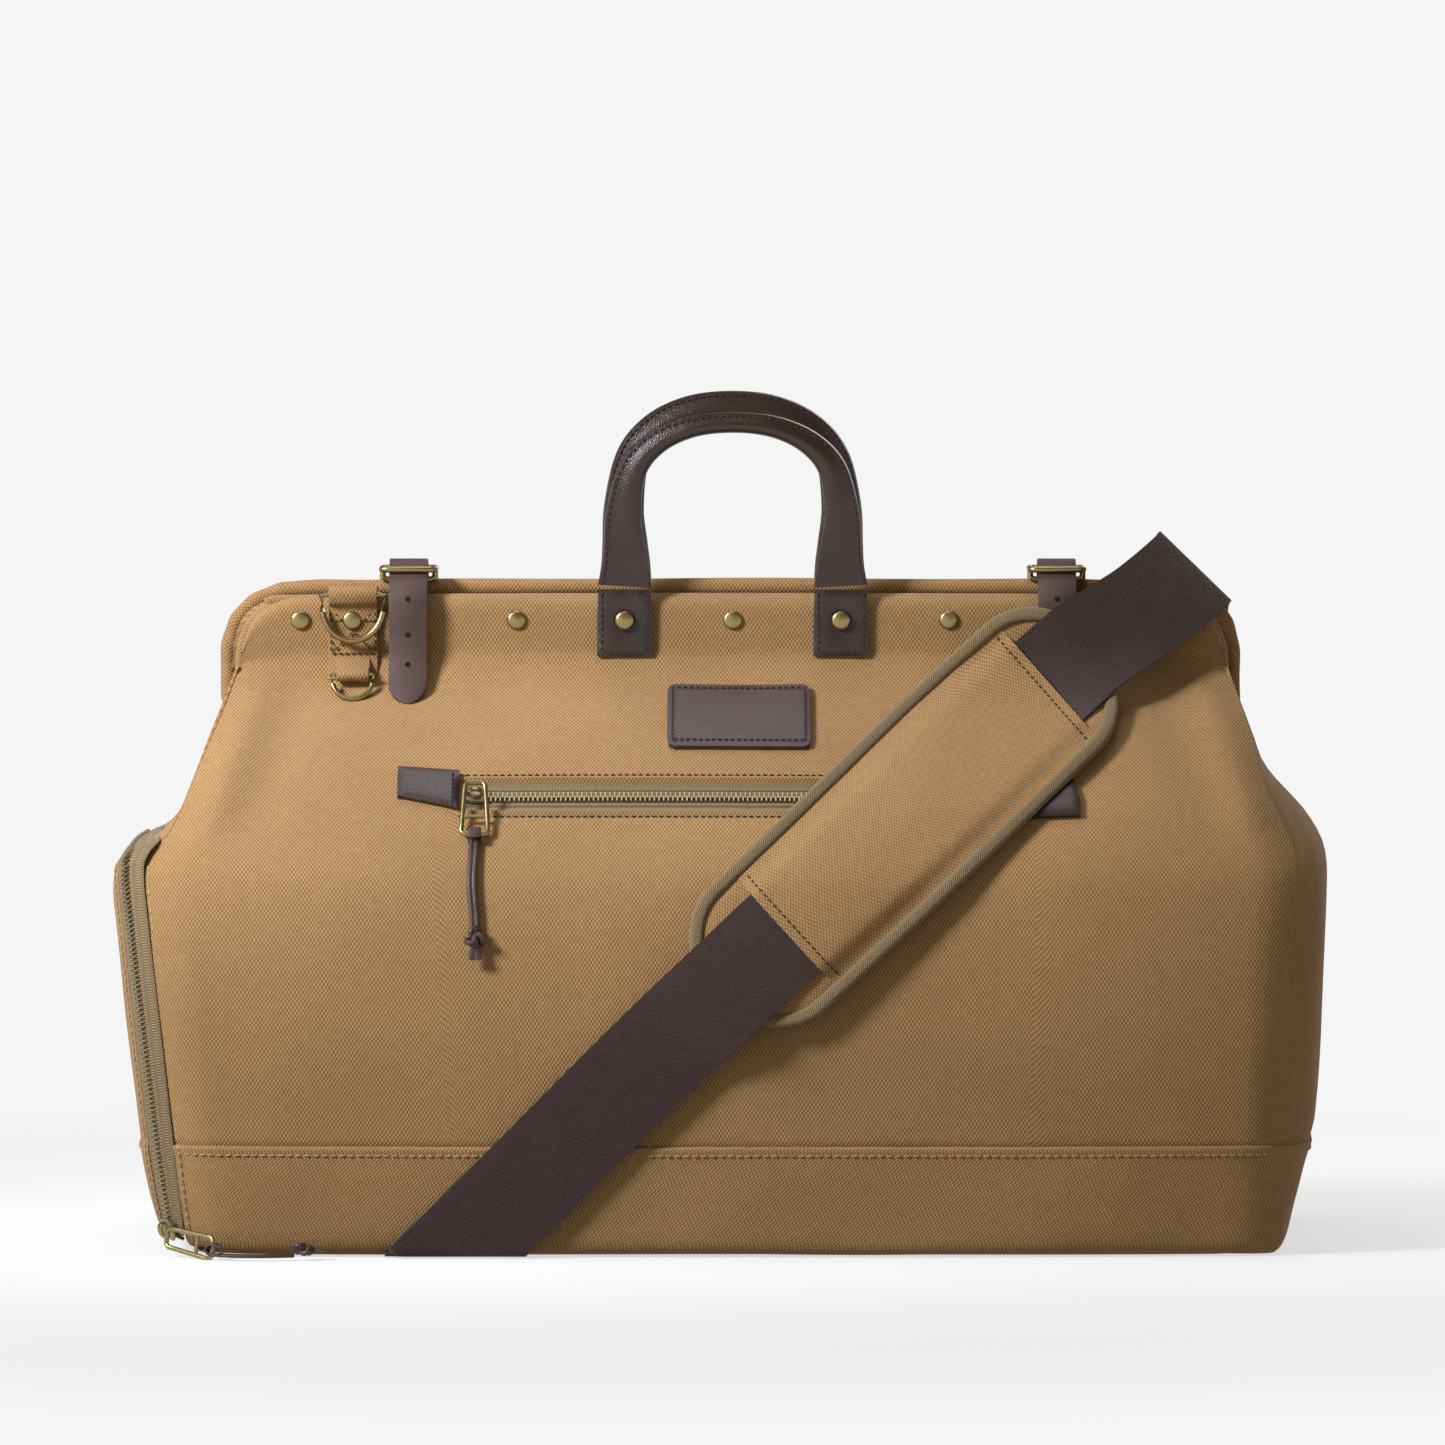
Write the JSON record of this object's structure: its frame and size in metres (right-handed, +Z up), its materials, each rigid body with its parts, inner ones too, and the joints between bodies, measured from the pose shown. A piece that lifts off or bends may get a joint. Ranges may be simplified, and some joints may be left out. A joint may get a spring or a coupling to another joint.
{
  "type": "doctor bag",
  "caption": "Canvas frame-mouth doctor bag with leather handles, closing straps, front zip pocket, end shoe compartment and a padded shoulder strap.",
  "frame": {"origin": "on the underside of the base, below the middle of the closed mouth", "axes": "+X to the right end, +Y to the back, +Z up; the front pocket faces -Y"},
  "size_m": [0.5983, 0.3008, 0.4235],
  "materials": {
    "canvas": "coarse waxed cotton canvas, khaki brown, matte",
    "lining": "plain cotton lining",
    "board": "stiff base board",
    "handle_leather": "smooth dark brown leather, satin",
    "strap_leather": "matte dark brown leather",
    "antique_brass": "aged brass, worn bright at edges",
    "frame_steel": "plain steel",
    "zip_chain": "brass teeth on khaki tape",
    "webbing": "ribbed dark brown cotton webbing"
  },
  "bodies": {
    "root": {"base_panel": "canvas", "base_board": "board", "base_band": "canvas", "front_panel": "canvas", "front_shoulder_canvas": "canvas", "back_panel": "canvas", "back_shoulder_canvas": "canvas", "right_end_panel": "canvas", "right_gusset": "canvas", "left_gusset": "canvas", "shoe_partition": "lining", "shoe_roof": "canvas", "hinge_pin_left": "frame_steel", "hinge_pin_right": "frame_steel", "pocket_zip_chain": "zip_chain", "zip_end_tab_left": "strap_leather", "zip_end_tab_right": "strap_leather", "leather_patch": "strap_leather", "shoe_zip_chain": "zip_chain", "strap_pad": "canvas", "strap_ring_tab_right": "strap_leather", "strap_ring_tab_left": "strap_leather", "strap_ring_right": "antique_brass", "strap_ring_left": "antique_brass", "strap_upper": "webbing", "strap_lower": "webbing", "strap_under": "webbing", "strap_rear": "webbing"},
    "shoe_door": {"shoe_door": "canvas"},
    "front_frame": {"front_frame_bar": "frame_steel", "front_hem": "canvas", "front_rivets": "antique_brass", "front_handle_tab_left": "handle_leather", "front_handle_tab_right": "handle_leather", "ring_tab": "canvas", "buckle_chape_left": "strap_leather", "buckle_chape_right": "strap_leather"},
    "back_frame": {"back_frame_bar": "frame_steel", "back_hem": "canvas", "back_rivets": "antique_brass", "back_handle_tab_left": "handle_leather", "back_handle_tab_right": "handle_leather"},
    "front_handle": {"front_handle": "handle_leather"},
    "back_handle": {"back_handle": "handle_leather"},
    "large_d_ring": {"large_d_ring": "antique_brass"},
    "small_d_ring": {"small_d_ring": "antique_brass"},
    "pocket_zip_slider": {"pocket_zip_slider": "antique_brass"},
    "pocket_zip_pull": {"pocket_zip_pull": "antique_brass", "pocket_lace": "strap_leather", "pocket_lace_knot": "strap_leather"},
    "shoe_zip_slider": {"shoe_zip_slider": "antique_brass"},
    "shoe_zip_pull": {"shoe_zip_pull": "antique_brass", "shoe_lace": "strap_leather", "shoe_lace_knot": "strap_leather"},
    "buckle_left": {"buckle_left": "antique_brass"},
    "buckle_tongue_left": {"buckle_tongue_left": "antique_brass"},
    "closing_strap_left": {"closing_strap_left": "strap_leather"},
    "buckle_right": {"buckle_right": "antique_brass"},
    "buckle_tongue_right": {"buckle_tongue_right": "antique_brass"},
    "closing_strap_right": {"closing_strap_right": "strap_leather"}
  },
  "joints": [
    {"name": "mouth_front", "type": "hinge", "parent": "root", "child": "front_frame", "pos_m": [0, 0, 0.262], "axis": [1, 0, 0], "range_deg": [0, 55], "deforming": ["front_shoulder_canvas", "left_gusset", "right_gusset", "leather_patch", "strap_upper", "strap_pad", "closing_strap_left", "closing_strap_right"]},
    {"name": "mouth_back", "type": "hinge", "parent": "root", "child": "back_frame", "pos_m": [0, 0, 0.262], "axis": [-1, 0, 0], "range_deg": [0, 55], "deforming": ["back_shoulder_canvas"]},
    {"name": "front_handle_swing", "type": "hinge", "parent": "front_frame", "child": "front_handle", "pos_m": [0, -0.0159, 0.326], "axis": [1, 0, 0], "range_deg": [0, 45]},
    {"name": "back_handle_swing", "type": "hinge", "parent": "back_frame", "child": "back_handle", "pos_m": [0, 0.0159, 0.326], "axis": [-1, 0, 0], "range_deg": [0, 45]},
    {"name": "large_ring_swing", "type": "hinge", "parent": "front_frame", "child": "large_d_ring", "pos_m": [-0.1895, -0.0193, 0.3225], "axis": [-1, 0, 0], "range_deg": [0, 80]},
    {"name": "small_ring_swing", "type": "hinge", "parent": "front_frame", "child": "small_d_ring", "pos_m": [-0.1895, -0.0265, 0.283], "axis": [-1, 0, 0], "range_deg": [0, 50]},
    {"name": "buckle_left_tilt", "type": "hinge", "parent": "front_frame", "child": "buckle_left", "pos_m": [-0.162, 0, 0.329], "axis": [-1, 0, 0], "range_deg": [0, 20], "deforming": ["closing_strap_left"]},
    {"name": "buckle_tongue_left_lift", "type": "hinge", "parent": "buckle_left", "child": "buckle_tongue_left", "pos_m": [-0.162, 0, 0.329], "axis": [1, 0, 0], "range_deg": [0, 60]},
    {"name": "closing_strap_left_release", "type": "hinge", "parent": "back_frame", "child": "closing_strap_left", "pos_m": [-0.162, 0.0182, 0.318], "axis": [-1, 0, 0], "range_deg": [0, 209], "deforming": ["closing_strap_left"]},
    {"name": "buckle_right_tilt", "type": "hinge", "parent": "front_frame", "child": "buckle_right", "pos_m": [0.162, 0, 0.329], "axis": [-1, 0, 0], "range_deg": [0, 20], "deforming": ["closing_strap_right"]},
    {"name": "buckle_tongue_right_lift", "type": "hinge", "parent": "buckle_right", "child": "buckle_tongue_right", "pos_m": [0.162, 0, 0.329], "axis": [1, 0, 0], "range_deg": [0, 60]},
    {"name": "closing_strap_right_release", "type": "hinge", "parent": "back_frame", "child": "closing_strap_right", "pos_m": [0.162, 0.0182, 0.318], "axis": [-1, 0, 0], "range_deg": [0, 209], "deforming": ["closing_strap_right"]},
    {"name": "pocket_zip_run", "type": "slide", "parent": "root", "child": "pocket_zip_slider", "axis": [1, 0, 0], "range_m": [0, 0.095]},
    {"name": "pocket_pull_swing", "type": "hinge", "parent": "pocket_zip_slider", "child": "pocket_zip_pull", "pos_m": [-0.127, -0.0983, 0.2317], "axis": [-1, 0, 0], "range_deg": [0, 75]},
    {"name": "shoe_zip_run", "type": "slide", "parent": "root", "child": "shoe_zip_slider", "axis": [-0.1182, -0.1379, 0.9834], "range_m": [0, 0.06]},
    {"name": "shoe_pull_swing", "type": "hinge", "parent": "shoe_zip_slider", "child": "shoe_zip_pull", "pos_m": [-0.2765, -0.1265, 0.009], "axis": [0, 0, -1], "range_deg": [0, 40]},
    {"name": "shoe_door_open", "type": "hinge", "parent": "root", "child": "shoe_door", "pos_m": [-0.2775, 0, 0.006], "axis": [0, -1, 0], "range_deg": [0, 75]}
  ],
  "couplings": [
    {"joint": "mouth_back", "follows": "mouth_front", "ratio": 1},
    {"joint": "closing_strap_left_release", "follows": "mouth_front", "ratio": 3.8},
    {"joint": "closing_strap_right_release", "follows": "mouth_front", "ratio": 3.8}
  ]
}
